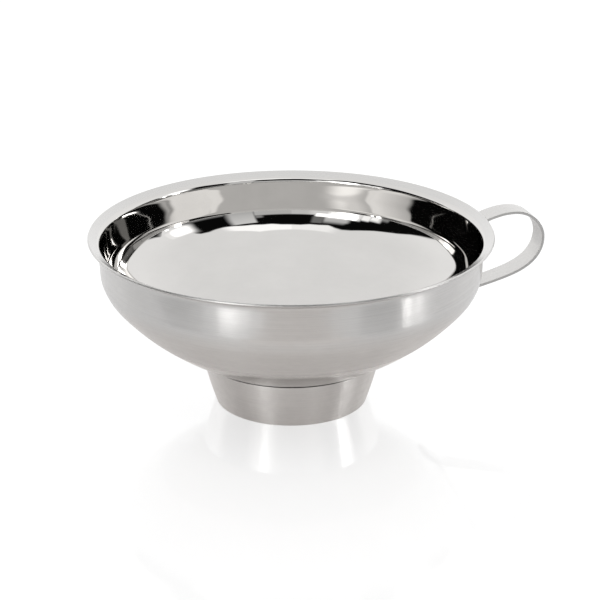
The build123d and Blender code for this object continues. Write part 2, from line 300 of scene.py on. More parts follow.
# -------------------------------------------------------------- mesh builders
def mesh_object(name, verts, faces, mats, sharp_deg, face_mat=None, attrs=None):
    me = bpy.data.meshes.new(name)
    me.from_pydata([tuple(v) for v in verts], [], faces)
    for mat in mats:
        me.materials.append(mat)
    if face_mat is not None:
        me.polygons.foreach_set("material_index", np.array(face_mat, np.int32))
    me.polygons.foreach_set("use_smooth", [True] * len(me.polygons))
    for key, values in (attrs or {}).items():
        layer = me.attributes.new(key, "FLOAT", "POINT")
        layer.data.foreach_set("value", np.array(values, np.float32))
    me.update()
    me.validate()
    made = bpy.data.objects.new(name, me)
    bpy.context.scene.collection.objects.link(made)
    me.set_sharp_from_angle(angle=math.radians(sharp_deg))
    return made


def revolve(name, outline, mats, steps, shape, sharp_deg):
    """Ring mesh from a closed outline, wound so that it faces out. shape moves its
    points: (angle, r, z) to (r, z). The "arc" attribute is the length along the outline."""
    points, zones = outline
    p = np.array(points, float)
    n = len(p)
    area = 0.5 * np.sum(p[:, 0] * np.roll(p[:, 1], -1) - np.roll(p[:, 0], -1) * p[:, 1])
    arc_length = np.r_[0, np.cumsum(np.hypot(*np.diff(p, axis=0).T))]
    angles = np.linspace(0, 2 * PI, steps, endpoint=False)
    angle, index = np.meshgrid(angles, np.arange(n), indexing="ij")
    r, z = shape(angle, p[index, 0], p[index, 1])
    verts = np.stack([r * np.cos(angle), r * np.sin(angle), z], -1).reshape(-1, 3) * MM
    faces, face_mat = [], []
    for i in range(steps):
        a, b = i * n, (i + 1) % steps * n
        for k in range(n):
            after = (k + 1) % n
            quad = (a + k, b + k, b + after, a + after)
            faces.append(quad if area < 0 else quad[::-1])
            face_mat.append(zones[k] if zones[k] != CUT else zones[after])
    return mesh_object(name, verts, faces, mats, sharp_deg, face_mat,
                       {"arc": np.tile(arc_length, steps)})


def register(made, piece):
    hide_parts(piece)
    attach(made, "root")


# --------------------------------------------------------------- shader nodes
class Num:
    """A node's output that takes part in Python arithmetic by adding math nodes."""

    def __init__(self, tree, socket):
        self.tree, self.socket = tree, socket

    def math(self, operation, *others):
        made = node(self.tree, "Math", self, *others, operation=operation)
        return Num(self.tree, made.outputs[0])

    def __add__(self, other): return self.math("ADD", other)
    def __sub__(self, other): return self.math("SUBTRACT", other)
    def __mul__(self, other): return self.math("MULTIPLY", other)
    def __truediv__(self, other): return self.math("DIVIDE", other)
    def min(self, other): return self.math("MINIMUM", other)
    def max(self, other): return self.math("MAXIMUM", other)
    def abs(self): return self.math("ABSOLUTE")
    def pow(self, other): return self.math("POWER", other)
    __radd__, __rmul__ = __add__, __mul__

    def __rsub__(self, number):
        value = self.tree.nodes.new("ShaderNodeValue")
        value.outputs[0].default_value = number
        return Num(self.tree, value.outputs[0]) - self

    def swing(self, amount):
        """Noise as a deviation about zero."""
        return (self - 0.5) * amount

    def ramp(self, zero, one):
        """0 at and before zero, 1 at and past one, smooth between, in either direction."""
        made = node(self.tree, "MapRange", interpolation_type="SMOOTHSTEP",
                    Value=self, From_Min=zero, From_Max=one)
        return Num(self.tree, made.outputs[0])

    def band(self, low, high, soft):
        """1 between low and high, with edges faded over soft to either side."""
        return self.ramp(low - soft, low + soft) * self.ramp(high + soft, high - soft)


def plug(tree, slot, value):
    """Link a node, socket or Num to an input, or set the input to a plain value."""
    if isinstance(value, Num):
        value = value.socket
    if isinstance(value, bpy.types.Node):
        value = value.outputs[0]
    if isinstance(value, bpy.types.NodeSocket):
        tree.links.new(value, slot)
    else:
        slot.default_value = value


def node(tree, kind, *inputs, **named):
    """Add a node. Positional values go to its inputs in order, Capitalised names to
    the inputs so called (_ for a space), and lower-case names set its properties."""
    made = tree.nodes.new("ShaderNode" + kind)
    for key, value in named.items():
        if key[0].islower():
            setattr(made, key, value)
        else:
            plug(tree, made.inputs[key.replace("_", " ")], value)
    for i, value in enumerate(inputs):
        plug(tree, made.inputs[i], value)
    return made


def new_material(name):
    made = bpy.data.materials.new(name)
    made.use_nodes = True
    made.node_tree.nodes.clear()
    return made, made.node_tree


def outline_length(tree):
    return Num(tree, node(tree, "Attribute", attribute_name="arc").outputs["Fac"])


def position(tree):
    split = node(tree, "SeparateXYZ", node(tree, "TexCoord").outputs["Object"])
    return [Num(tree, split.outputs[k]) for k in range(3)]


def axis_distance(x, y):
    return (x * x + y * y).pow(0.5)


def turn_about_axis(tree):
    """Cosine and sine of the angle about the funnel's axis."""
    x, y, _ = position(tree)
    r = axis_distance(x, y).max(1e-5)
    return x / r, y / r


def noise(tree, at, detail, rough):
    made = node(tree, "TexNoise", Vector=node(tree, "CombineXYZ", *at),
                Scale=1.0, Detail=detail, Roughness=rough)
    return Num(tree, made.outputs["Fac"])


def ring_noise(tree, length, turn, along, around, detail, rough):
    """Noise on a turned piece, scaled along its outline and around its axis."""
    return noise(tree, (length * along, turn[0] * around, turn[1] * around), detail, rough)


def bump(tree, height, strength, distance):
    return node(tree, "Bump", Height=height, Strength=strength, Distance=distance)


def steel(tree, level, tint, rough, normal, **more):
    """Metal whose colour is level times tint."""
    colour = node(tree, "CombineColor", *[level * share for share in tint])
    return node(tree, "BsdfPrincipled", Metallic=1.0, Base_Color=colour,
                Roughness=rough, Normal=normal, **more)


# ------------------------------------------------------------------ materials
def polished():
    """Mirror-polished inside: faint polishing rings, haze and a few hairlines."""
    made, t = new_material("polished_steel")
    turn = turn_about_axis(t)
    length = outline_length(t)
    rings = ring_noise(t, length, turn, along=5.5, around=1.2, detail=3.0, rough=0.6)
    haze = ring_noise(t, length, turn, along=0.10, around=3.0, detail=3.0, rough=0.55)
    x, y, z = position(t)
    hair = noise(t, (x * 900, y * 140, z * 400), detail=2.0, rough=0.6)
    node(t, "OutputMaterial", steel(
        t, level=0.622 + rings.swing(0.02) + haze.swing(0.07), tint=(1.0, 0.983, 0.960),
        rough=0.030 + haze.ramp(0.45, 0.8) * 0.020 + hair.ramp(0.66, 0.8) * 0.015,
        normal=bump(t, rings * 0.6 + hair * 0.25, strength=0.035, distance=0.00002)))
    return made


def lip_steel():
    made, t = new_material("lip_steel")
    turn = turn_about_axis(t)
    length = outline_length(t)
    rings = ring_noise(t, length, turn, along=9.0, around=1.6, detail=3.0, rough=0.65)
    haze = ring_noise(t, length, turn, along=0.4, around=6.0, detail=3.0, rough=0.5)
    node(t, "OutputMaterial", steel(
        t, level=0.605 + rings.swing(0.05) + haze.swing(0.03), tint=(1.0, 0.990, 0.975),
        rough=0.16 + haze * 0.06, normal=bump(t, rings, strength=0.08, distance=0.00003)))
    return made


def brushed(name, base, sharp, broad, fine=7.0, tint=(1.0, 0.984, 0.966), around=True,
            mix=0.42, relief=0.04, calm_and_shade=0.0):
    """Brushed steel: long fine lines, soft bands and handling haze. Two lobes,
    sharp and broad, each (roughness, anisotropy), are mixed. The lines run around
    the axis, or else along the strap. calm_and_shade smooths it beside the neck and
    darkens its colour there, a painted shade for the neck's dark reflection."""
    made, t = new_material(name)
    x, y, _ = position(t)
    r = axis_distance(x, y).max(1e-5)
    length = outline_length(t)
    if around:
        turn = (x / r, y / r)
        lines = ring_noise(t, length, turn, along=fine, around=2.2, detail=4.0, rough=0.7)
        short = ring_noise(t, length * fine, turn, along=1.9, around=22.0, detail=3.0, rough=0.7)
        bands = ring_noise(t, length, turn, along=0.55, around=0.9, detail=3.0, rough=0.55)
        haze = ring_noise(t, length, turn, along=0.08, around=2.6, detail=3.0, rough=0.5)
    else:
        _, y, _ = position(t)
        lines = noise(t, (y * 1000 * fine, length * 0.045, 0.0), detail=4.0, rough=0.7)
        short = noise(t, (y * 1900 * fine, length * 0.5, 0.0), detail=3.0, rough=0.7)
        bands = noise(t, (y * 260, length * 0.03, 2.0), detail=3.0, rough=0.55)
        haze = noise(t, (y * 160, length * 0.16, 5.0), detail=3.0, rough=0.5)
        flow = node(t, "Attribute", attribute_name="flow").outputs["Vector"]
    grain = lines.swing(0.055) + short.swing(0.03) + bands.swing(0.05)
    near = (r * 1000).ramp(55, 49) * calm_and_shade
    height = lines * 0.7 + short * 0.4 + bands * 0.8
    lobes = []
    for rough, stretch in (sharp, broad):
        # relief is weaker in the calm zone
        normal = bump(t, height, strength=relief, distance=0.00003)
        plug(t, normal.inputs["Strength"], (1 - near * 0.7) * relief)
        lobes.append(steel(
            # painted shade: the colour is up to a fifth darker beside the neck, standing in for
            # the neck's dark reflection
            t, level=(base + grain) * (1 - (r * 1000).ramp(50.5, 48.5) * 0.20 * calm_and_shade), tint=tint,
            rough=(rough + haze.swing(0.05) + lines.swing(0.03)) * (1 - near * 0.66),
            normal=normal, Anisotropic=stretch, Anisotropic_Rotation=0.25,
            Tangent=node(t, "Tangent", direction_type="RADIAL", axis="Z") if around else flow))
    share = ((mix + haze.swing(0.5) + lines.swing(0.3)) * (1 - near)).max(0.0).min(1.0)
    node(t, "OutputMaterial", node(t, "MixShader", share, *lobes))
    return made


def cut_edge(name, base, rough):
    """Sheared and broken sheet edge, unevenly bright."""
    made, t = new_material(name)
    x, y, z = position(t)
    streaks = noise(t, (x * 260, y * 260, z * 1800), detail=3.0, rough=0.6)
    cloud = noise(t, (x * 60, y * 60, z * 60), detail=2.0, rough=0.5)
    node(t, "OutputMaterial", steel(
        t, level=base + streaks.swing(0.12) + cloud * 0.06, tint=(1.0, 0.988, 0.97),
        rough=rough + streaks * 0.12, normal=bump(t, streaks, strength=0.12, distance=0.00004)))
    return made


def weld_steel():
    """Cleaned weld: duller, slightly straw-toned, finely uneven."""
    made, t = new_material("weld_steel")
    x, y, z = position(t)
    grain = noise(t, (x * 900, y * 900, z * 900), detail=3.0, rough=0.6)
    cloud = noise(t, (x * 150, y * 150, z * 150), detail=2.0, rough=0.5)
    node(t, "OutputMaterial", steel(
        t, level=0.50 + grain.swing(0.15) + cloud.swing(0.10), tint=(1.0, 0.965, 0.90),
        rough=0.30 + grain * 0.18, normal=bump(t, grain, strength=0.25, distance=0.00005)))
    return made


MAT_IN = polished()
MAT_LIP = lip_steel()
MAT_OUT = brushed("brushed_bowl_steel", base=0.66, sharp=(0.135, 0.93), broad=(0.35, 0.95),
                  calm_and_shade=1.0)
MAT_NECK = brushed("brushed_neck_steel", base=0.73, sharp=(0.22, 0.92), broad=(0.41, 0.97),
                   fine=8.0, mix=0.55)
MAT_STRAP = brushed("strap_steel", base=0.63, sharp=(0.24, 0.5), broad=(0.36, 0.6),
                    fine=6.0, tint=(1.0, 0.987, 0.97), around=False)
MAT_EDGE = cut_edge("cut_edge_steel", base=0.60, rough=0.28)
MAT_SHEAR = cut_edge("strap_edge_steel", base=0.47, rough=0.24)
MAT_WELD = weld_steel()


# ----------------------------------------------------------------------- bowl
def bowl_shape(angle, r, z):
    """Very slight out-of-round of drawn sheet, kept within the rim's radius."""
    share = np.clip((r - 30.0) / 38.0, 0, 1)
    # (amplitude, waves round the bowl, phase, phase per mm of height)
    waves = [(0.030, 2, 0.6, 0), (0.020, 3, 2.1, 0.02), (0.010, 5, 0.3, -0.05),
             (0.006, 9, 1.7, 0.11), (0.004, 14, 4.0, -0.17)]
    wobble = sum(size * np.sin(count * angle + phase + z * twist)
                 for size, count, phase, twist in waves)
    return np.minimum(r + wobble * share, RIM_R), z


bowl = revolve("funnel_bowl", bowl_outline(), [MAT_IN, MAT_LIP, MAT_OUT, MAT_EDGE],
               steps=480, shape=bowl_shape, sharp_deg=38)
register(bowl, "bowl")


# ----------------------------------------------------------------------- neck
def neck_outline():
    """Zones: 0 outer side, 1 edges, 2 inner side."""
    top = neck_angle(NECK_R, NECK_RIM_Z)
    tuck = neck_angle(NECK_R_IN, NECK_TUCK_Z)
    fillet_start = top - NECK_TOP_FILLET / NECK_R
    land = (neck_point(NECK_R, top)[0] - NECK_LAND_IN, NECK_RIM_Z - NECK_LAND_DROP)
    top_r, top_z = neck_point(NECK_R - NECK_TOP_FILLET, fillet_start)
    top_c = (top_r, min(top_z, NECK_RIM_Z - NECK_TOP_FILLET))
    foot = NECK_FOOT_FILLET
    foot_out = neck_angle(NECK_R, foot)
    foot_in = neck_angle(NECK_R_IN, foot)
    inner_c = (neck_point(NECK_R_IN, foot_in)[0] + foot * 0.98, foot)
    outer_c = (neck_point(NECK_R, foot_out)[0] - foot * 0.98, foot)
    return closed_outline([
        (arc(NECK_C, NECK_R, foot_out, fillet_start, 60), 0),
        (arc(top_c, NECK_TOP_FILLET, top, PI / 2, 8), 1),
        (line((top_r, NECK_RIM_Z - 0.004), land, 4), 1),
        (line(land, neck_point(NECK_R_IN, tuck), 5), 1),
        (arc(NECK_C, NECK_R_IN, tuck, foot_in, 60), 2),
        (arc(inner_c, foot, PI, 1.5 * PI, 7), 1),
        (arc(outer_c, foot, 1.5 * PI, 2 * PI, 7), 1),
    ])


def neck_shape(angle, r, z):
    """Slightly out of round towards the foot."""
    share = np.clip(1 - z / 10.0, 0, 1)
    return r + share * (0.010 * np.sin(2 * angle + 1.0) + 0.006 * np.sin(5 * angle)), z


neck = revolve("funnel_neck", neck_outline(), [MAT_NECK, MAT_EDGE, MAT_NECK],
               steps=360, shape=neck_shape, sharp_deg=50)
register(neck, "neck_sleeve")


# ----------------- seam bead: a fillet between the collar's end and the neck
def seam_outline():
    end = collar_end_angle
    start = neck_point(COLLAR_R_IN + SEAM_SINK, end)
    points = [start, neck_point(COLLAR_R_OUT + 0.02, end)]
    points += [neck_point(NECK_R_IN, end - SEAM_LEG * share / NECK_R)
               for share in (0, 0.35, 0.7, 1)]
    toe = points[-1]
    along = unit(minus(start, toe))
    inward = (-along[1], along[0])       # towards the axis
    steps = 12
    for k in range(1, steps):
        t = k / steps
        base = (toe[0] * (1 - t) + start[0] * t, toe[1] * (1 - t) + start[1] * t)
        points.append(add(base, inward, SEAM_BULGE * math.sin(PI * t)))
    return points, [0] * len(points)


def seam_shape(angle, r, z):
    """Ripples on the bead's inner side."""
    ripple = 0.022 * np.sin(angle * 210) + 0.012 * np.sin(angle * 37 + 1.0)
    ripple = ripple + 0.010 * np.sin(angle * 83)
    ripple = np.where(r < COLLAR_R_OUT + NECK_C[0] - 0.1, ripple, 0.0)
    return r + ripple, z + 0.4 * ripple


seam = revolve("neck_seam_bead", seam_outline(), [MAT_WELD],
               steps=840, shape=seam_shape, sharp_deg=60)
register(seam, "neck_seam_weld")


# --------------------------------------------------------------- handle strap
def under_lip(x):
    """Middle of the strap where it lies under the lip."""
    return (x, lip_z(x) - (HALF + LAP_GAP + STRAP_T / 2) / LIP_ALONG[0])


def bowl_at(r):
    """Point and normal of the bowl's outer side at radius r."""
    k = int(np.argmin(np.abs(bowl_out[:, 0] - r)))
    return tuple(bowl_out[k]), tuple(bowl_nor[k])


def under_bowl(r):
    """Middle of the strap where it lies on the outside of the bowl."""
    p, normal = bowl_at(r)
    return add(p, normal, -(LAP_GAP + STRAP_T / 2))


lower_tab = [under_bowl(r) for r in BOWL_TAB_R]
strap_mid, strap_tan = spline([under_lip(x) for x in LIP_TAB_X] + LOOP + lower_tab,
                              LIP_ALONG, unit(minus(lower_tab[-1], lower_tab[-2])), 4000)
strap_dist = np.r_[0, np.cumsum(np.hypot(*np.diff(strap_mid, axis=0).T))]
STRAP_LEN = float(strap_dist[-1])


def grid_lines(low, high, even):
    """Even lines with closer ones at both ends."""
    return np.array([low + f for f in STRAP_EDGE_LINES] + list(even)
                    + [high - f for f in reversed(STRAP_EDGE_LINES)])


def spot_holes():
    """Holes round the spot welds: (distance along, y, radius, half size in cells)."""
    k = int(np.argmin(np.abs(strap_mid[:400, 0] - UPPER_SPOT_X)))
    holes = [(strap_dist[k], y, UPPER_SPOT_R + SPOT_CLEAR, 5)
             for y in (UPPER_SPOT_Y, -UPPER_SPOT_Y)]
    for r in LOWER_SPOT_AT:
        x, z = under_bowl(r)
        k = int(np.argmin(np.hypot(strap_mid[:, 0] - x, strap_mid[:, 1] - z)))
        holes.append((strap_dist[k], 0.0, LOWER_SPOT_R + SPOT_CLEAR, 6))
    return holes


def grid_loop(i0, i1, j0, j1):
    """Grid points once round a rectangle."""
    return ([(i0, j) for j in range(j0, j1)] + [(i, j1) for i in range(i0, i1)]
            + [(i1, j) for j in range(j1, j0, -1)] + [(i, j0) for i in range(i1, i0, -1)])


def bend_grid(dist, side, i_mid, j_mid, hole):
    """Bend the square grid rings round (i_mid, j_mid) into circles at the hole's edge,
    fading back to squares outwards."""
    hole_dist, hole_y, radius, cells = hole
    rows, cols = dist.shape
    dist_mid, side_mid = dist[i_mid, 0], side[0, j_mid]
    outer = max(cells + 1, min(cells + 5, j_mid - 5, cols - 6 - j_mid,
                               i_mid - 5, rows - 6 - i_mid))
    new_dist, new_side = {}, {}
    for i in range(i_mid - outer, i_mid + outer + 1):
        for j in range(j_mid - outer, j_mid + outer + 1):
            ring = max(abs(i - i_mid), abs(j - j_mid))
            if ring < cells or not (0 <= i < rows and 0 <= j < cols):
                continue
            t = (ring - cells) / max(1, outer - cells)
            du, dv = (i - i_mid) * STRAP_CELL, (j - j_mid) * STRAP_CELL
            round_off = ring * STRAP_CELL / math.hypot(du, dv)
            scale = (1 - t) * round_off * radius / (cells * STRAP_CELL) + t
            new_dist[i, j] = dist_mid + du * scale + (hole_dist - dist_mid) * (1 - t)
            new_side[i, j] = side_mid + dv * scale + (hole_y - side_mid) * (1 - t)
    return new_dist, new_side


def strap_half_width(dist):
    """Half width with rounded corners at the strap's two ends."""
    width = np.full_like(dist, STRAP_W / 2)
    for from_end, radius in ((dist, UPPER_CORNER_R), (STRAP_LEN - dist, LOWER_CORNER_R)):
        inset = radius - np.clip(from_end, 0, radius)
        drop = radius - np.sqrt(np.maximum(0, radius * radius - inset ** 2))
        width = np.minimum(width, STRAP_W / 2 - drop)
    return width


def strap_surfaces(dist, side):
    """Both sides of the strap and its direction, at each grid point."""
    lim = STRAP_W / 2
    width = strap_half_width(dist)
    # only the outer lines are pulled in, so the holes keep their shape
    pull = np.clip((np.abs(side) - (lim - 2.3)) / 2.3, 0, 1)
    y = side * (1 - pull) + np.sign(side) * pull * (np.abs(side) * width / lim)
    from_edge = np.minimum(np.minimum(dist, STRAP_LEN - dist), (width - np.abs(y)).clip(0))
    inset = STRAP_EDGE_R - np.clip(from_edge, 0, STRAP_EDGE_R)
    half = (STRAP_T / 2 - STRAP_EDGE_R
            + np.sqrt(np.maximum(0, STRAP_EDGE_R * STRAP_EDGE_R - inset ** 2)))
    # a very slight crown across the width of the outward side
    top = half - STRAP_CROWN + STRAP_CROWN * (1 - (y / lim) ** 2)
    x, z = (np.interp(dist, strap_dist, strap_mid[:, k]) for k in (0, 1))
    tan_x, tan_z = (np.interp(dist, strap_dist, strap_tan[:, k]) for k in (0, 1))
    norm = np.hypot(tan_x, tan_z)
    tan_x, tan_z = tan_x / norm, tan_z / norm
    sides = [np.stack([x - tan_z * off, y, z + tan_x * off], -1) for off in (top, -half)]
    return sides, np.stack([tan_x, 0 * tan_x, tan_z], -1)


def strap():
    count = int(round(STRAP_LEN / STRAP_CELL))
    across = grid_lines(-STRAP_W / 2, STRAP_W / 2, np.linspace(
        -STRAP_W / 2 + STRAP_CELL, STRAP_W / 2 - STRAP_CELL, 39))
    along = grid_lines(0, STRAP_LEN, np.arange(1, count) * (STRAP_LEN / count))
    rows, cols = len(along), len(across)
    dist, side = np.meshgrid(along, across, indexing="ij")
    open_cells = np.zeros((rows - 1, cols - 1), bool)
    loops = [grid_loop(0, rows - 1, 0, cols - 1)]
    moves = []
    for hole in spot_holes():
        i_mid = int(np.argmin(np.abs(along - hole[0])))
        j_mid = int(np.argmin(np.abs(across - hole[1])))
        cells = hole[3]
        moves.append(bend_grid(dist, side, i_mid, j_mid, hole))
        open_cells[i_mid - cells:i_mid + cells, j_mid - cells:j_mid + cells] = True
        loops.append(grid_loop(i_mid - cells, i_mid + cells, j_mid - cells, j_mid + cells))
    for new_dist, new_side in moves:
        for at in new_dist:
            dist[at], side[at] = new_dist[at], new_side[at]

    sides, flow = strap_surfaces(dist, side)
    layer = rows * cols                  # vertices on one side of the strap
    verts = np.concatenate([s.reshape(-1, 3) for s in sides]) * MM
    flow = np.concatenate([flow.reshape(-1, 3)] * 2)
    dist = np.concatenate([dist.reshape(-1)] * 2)
    faces, face_mat = [], []             # material 0 broad sides, 1 edges
    for i in range(rows - 1):
        for j in range(cols - 1):
            if open_cells[i, j]:
                continue
            a = i * cols + j
            quad = (a, a + 1, a + cols + 1, a + cols)
            faces += [quad[::-1], tuple(layer + k for k in quad)]
            face_mat += [int(i < 4 or i >= rows - 5 or j < 4 or j >= cols - 5)] * 2
    # walls round the border, then round the holes, which face the other way
    for number, loop in enumerate(loops):
        for k, (i, j) in enumerate(loop):
            i_next, j_next = loop[(k + 1) % len(loop)]
            a, b = i * cols + j, i_next * cols + j_next
            if number > 0:
                a, b = b, a
            faces.append((a, b, layer + b, layer + a))
            face_mat.append(1)
    # keep only the vertices in use
    used = np.zeros(2 * layer, bool)
    for face in faces:
        used[list(face)] = True
    renumber = np.cumsum(used) - 1
    faces = [tuple(int(renumber[k]) for k in face) for face in faces]
    made = mesh_object("handle_strap_band", verts[used], faces, [MAT_STRAP, MAT_SHEAR],
                       50, face_mat, {"arc": dist[used]})
    attribute = made.data.attributes.new("flow", "FLOAT_VECTOR", "POINT")
    attribute.data.foreach_set("vector", flow[used].astype(np.float32).ravel())
    return made


register(strap(), "handle_strap")


# ---------------------------------------------------------------- spot welds
# nugget's outer face, a shallow mark in a raised ring: (share of radius, height)
NUGGET_FACE = [(0.0, 0.0), (0.35, 0.004), (0.60, 0.02), (0.74, 0.055), (0.84, 0.085),
               (0.92, 0.078), (0.985, 0.03), (1.0, -0.03)]


def nuggets(name, spots, radius):
    """One mesh of weld nuggets at the spots: (centre, normal into the sheet as (x, z))."""
    verts, faces = [], []
    n = 56
    length = STRAP_T - SPOT_SINK + LAP_GAP
    outline = [(share * radius, height) for share, height in NUGGET_FACE]
    outline += [(radius, -length * 0.5), (radius, -length), (0.0, -length)]
    for centre, normal in spots:
        centre = Vector(centre)
        up = Vector((-normal[0], 0, -normal[1]))
        side = Vector((0, 1, 0))
        other = up.cross(side)
        first = len(verts)
        verts.append(tuple((centre + up * outline[0][1]) * MM))
        for r, height in outline[1:-1]:
            uneven = 0.012 if r < radius * 0.97 else 0
            for k in range(n):
                a = 2 * PI * k / n
                out = (side * math.cos(a) + other * math.sin(a)) * r * (
                    1 + uneven * math.sin(3 * a))
                verts.append(tuple((centre + up * height + out) * MM))
        verts.append(tuple((centre + up * outline[-1][1]) * MM))
        last = len(verts) - 1
        rings = len(outline) - 2
        for k in range(n):
            k2 = (k + 1) % n
            faces.append((first, first + 1 + k, first + 1 + k2))
            for ring in range(rings - 1):
                a = first + 1 + ring * n
                faces.append((a + k, a + n + k, a + n + k2, a + k2))
            a = first + 1 + (rings - 1) * n
            faces.append((a + k, last, a + k2))
    return mesh_object(name, verts, faces, [MAT_WELD], 40)


def upper_spots():
    x, z = add(under_lip(UPPER_SPOT_X), LIP_UP, -(STRAP_T / 2 - SPOT_SINK))
    return [((x, y, z), LIP_UP) for y in (-UPPER_SPOT_Y, UPPER_SPOT_Y)]


def lower_spots():
    spots = []
    for r in LOWER_SPOT_AT:
        p, normal = bowl_at(r)
        x, z = add(p, normal, -(LAP_GAP + STRAP_T - SPOT_SINK))
        spots.append(((x, 0.0, z), normal))
    return spots


upper = nuggets("lip_spot_weld_nuggets", upper_spots(), UPPER_SPOT_R - SPOT_CLEAR)
lower = nuggets("bowl_spot_weld_nuggets", lower_spots(), LOWER_SPOT_R - SPOT_CLEAR)
register(upper, "handle_upper_spot_welds")
register(lower, "handle_lower_spot_welds")

# --------------------------------------------------------------------- camera
VIEW_TURN = math.radians(15.0)           # the handle's azimuth in the view
RIGHT = Vector((math.cos(VIEW_TURN), -math.sin(VIEW_TURN), 0))
AWAY = Vector((math.sin(VIEW_TURN), math.cos(VIEW_TURN), 0))
# mm from the axis point at CAMERA_BASE_Z, moved sideways by CAMERA_ASIDE
CAMERA_DIST, CAMERA_ASIDE, CAMERA_BASE_Z = 677.8025, 3.144277, 63.83
CAMERA_RISE, CAMERA_TILT = math.radians(19.2326), math.radians(21.3278)

cam = bpy.data.cameras.new("camera")
cam.sensor_width = 36.0
cam.lens = 113.8194
cam.clip_start, cam.clip_end = 0.02, 50
cam_obj = bpy.data.objects.new("camera", cam)
cam_obj.rotation_mode = "QUATERNION"
forward = AWAY * math.cos(CAMERA_TILT) - Vector((0, 0, math.sin(CAMERA_TILT)))
cam_obj.rotation_quaternion = forward.to_track_quat("-Z", "Y")
cam_obj.location = (
    -AWAY * (CAMERA_DIST * math.cos(CAMERA_RISE)) + RIGHT * CAMERA_ASIDE
    + Vector((0, 0, CAMERA_DIST * math.sin(CAMERA_RISE) + CAMERA_BASE_Z))) * MM
bpy.context.scene.collection.objects.link(cam_obj)
bpy.context.scene.camera = cam_obj

# ---------------------------------------------------------------------- world
# A light tent with a dark opening round the camera and bright softboxes. All
# shapes are in degrees of azimuth (0 away from the camera, positive to the
# right, +-180 at the camera) and elevation.
world = bpy.data.worlds.new("studio")
bpy.context.scene.world = world
world.use_nodes = True
wt = world.node_tree
wt.nodes.clear()
world_dir = node(wt, "TexCoord").outputs["Generated"]
light_path = node(wt, "LightPath")


def along(direction):
    made = node(wt, "VectorMath", world_dir, direction, operation="DOT_PRODUCT")
    return Num(wt, made.outputs["Value"])


azim = along(RIGHT).math("ARCTAN2", along(AWAY)) * (180 / PI)
elev = along((0, 0, 1)).max(-1).min(1).math("ARCSINE") * (180 / PI)
depth = Num(wt, light_path.outputs["Ray Depth"]) - 1    # reflections so far
second = depth.ramp(1.4, 1.6)            # 1 from the second reflection on
third = depth.ramp(2.4, 2.6)             # 1 from the third on
two = second * (1 - third)               # 1 at the second only
side = azim.ramp(-70, 70)                # 0 left, 1 right

# the tent's lower edge: (azimuth, elevation); some of it differs by reflection
EDGE_SHARED = [
    (-124, 44.5), (-117, 38.5), (-110, 34), (-103, 29), (-96, 21.5), (-89, 16.5), (-82, 12.5),
    (-75, 8), (-62, -9), (62, -9), (70, 5), (78, 10), (84, 13), (88, 16), (93, 5), (104, 5),
    (107, 30),
]
EDGE_FIRST = [
    (-180, 47.5), (-173, 48), (-166, 45.5), (-159, 46), (-152, 44.5), (-145, 49.5),
    (-138, 51.5), (-131, 49.5), *EDGE_SHARED, (109, 39.5), (116, 41), (123, 38.5),
    (130, 37.5), (137, 39), (144, 42), (151, 42.5), (158, 44.5), (165, 44), (172, 47), (180, 47.5),
]
EDGE_LATER = [
    (-180, 43), (-166, 41), (-159, 41), (-152, 38.5), (-145, 38.5), (-138, 46),
    (-131, 49), *EDGE_SHARED, (109, 38), (116, 39), (123, 36),
    (130, 35), (137, 37), (144, 37.5), (151, 37.5), (158, 40.5), (165, 41), (172, 42), (180, 43),
]


def edge_curve(table, top=60):
    """Elevation as a piecewise-linear function of azimuth; top scales it to 0..1."""
    made = node(wt, "FloatCurve", Value=(azim - -180) / 360)
    points = [((x + 180) / 360, y / top) for x, y in table]
    curve = made.mapping.curves[0]
    curve.points[0].location = points[0]
    curve.points[1].location = points[-1]
    for p in points[1:-1]:
        curve.points.new(*p)
    for p in curve.points:
        p.handle_type = "VECTOR"
    made.mapping.update()
    return Num(wt, made.outputs[0]) * top


def patch(az, el, level, soft, across=azim):
    """Soft-edged rectangle of light; soft is its fade in azimuth and elevation."""
    return across.band(*az, soft[0]) * elev.band(*el, soft[1]) * level


def tent_light():
    back_low = azim.abs().ramp(110, 85) * elev.ramp(50, 20)
    # brighter above the opening, under a limit that slopes on the right
    sloped = elev + (azim * -1 + 150).max(0) * 0.42
    front_top = ((azim * -1).ramp(136, 150) * elev.ramp(59.5, 57.5)).max(
        azim.ramp(124, 135) * sloped.ramp(59.5, 57.5))
    # lobe over the opening, then a slanting glare on the right: second reflection only
    lobe_level = side * 0.68 + (1 - side) * ((elev - 40) * 0.055).max(0).min(0.74)
    lobe = azim.abs().ramp(136, 150) * (elev - (59 - side * 2.5)).ramp(0.8, -0.8) * lobe_level
    slant = azim - (241 - elev * 1.2)
    glare = (side * elev.band(59.5, 71.5, 4.5) * slant.band(-14, 6, 2)
             * (0.50 + 0.8 * slant.ramp(0, -2.4)))
    return (1.07 + back_low * 0.10 + front_top * (0.30 + side * 0.20) * (1 - two)
            + (lobe + glare - 0.04) * two)


def right_light():
    """Two bright bars and a cross bar in a dim box, with a broad glow over them."""
    shifted = azim - (4 + two * 4.6)
    bars = (patch(az=(89.6, 92.6), el=(-3, 40), level=7.5, soft=(0.3, 2), across=shifted)
            + patch(az=(97.4, 102.8), el=(-3, 40), level=9.5, soft=(0.3, 2), across=shifted)
            + patch(az=(87, 107), el=(-3, 40), level=0.4, soft=(1.2, 2), across=shifted)
            + patch(az=(94, 102), el=(20, 24), level=3.0, soft=(1.0, 1.0), across=shifted))
    bars = bars * elev.ramp(29, 16)
    # the first reflection sees only their dimmed lower part
    bars = bars * (second + (1 - second) * elev.ramp(14, 8) * 0.6)
    glow = patch(az=(94, 111), el=(13, 31), level=2.5, soft=(5.0, 7.0)).max(
        patch(az=(88, 108), el=(12, 34), level=1.3, soft=(4.0, 5.0)))
    return bars.max(glow * (1 - third))


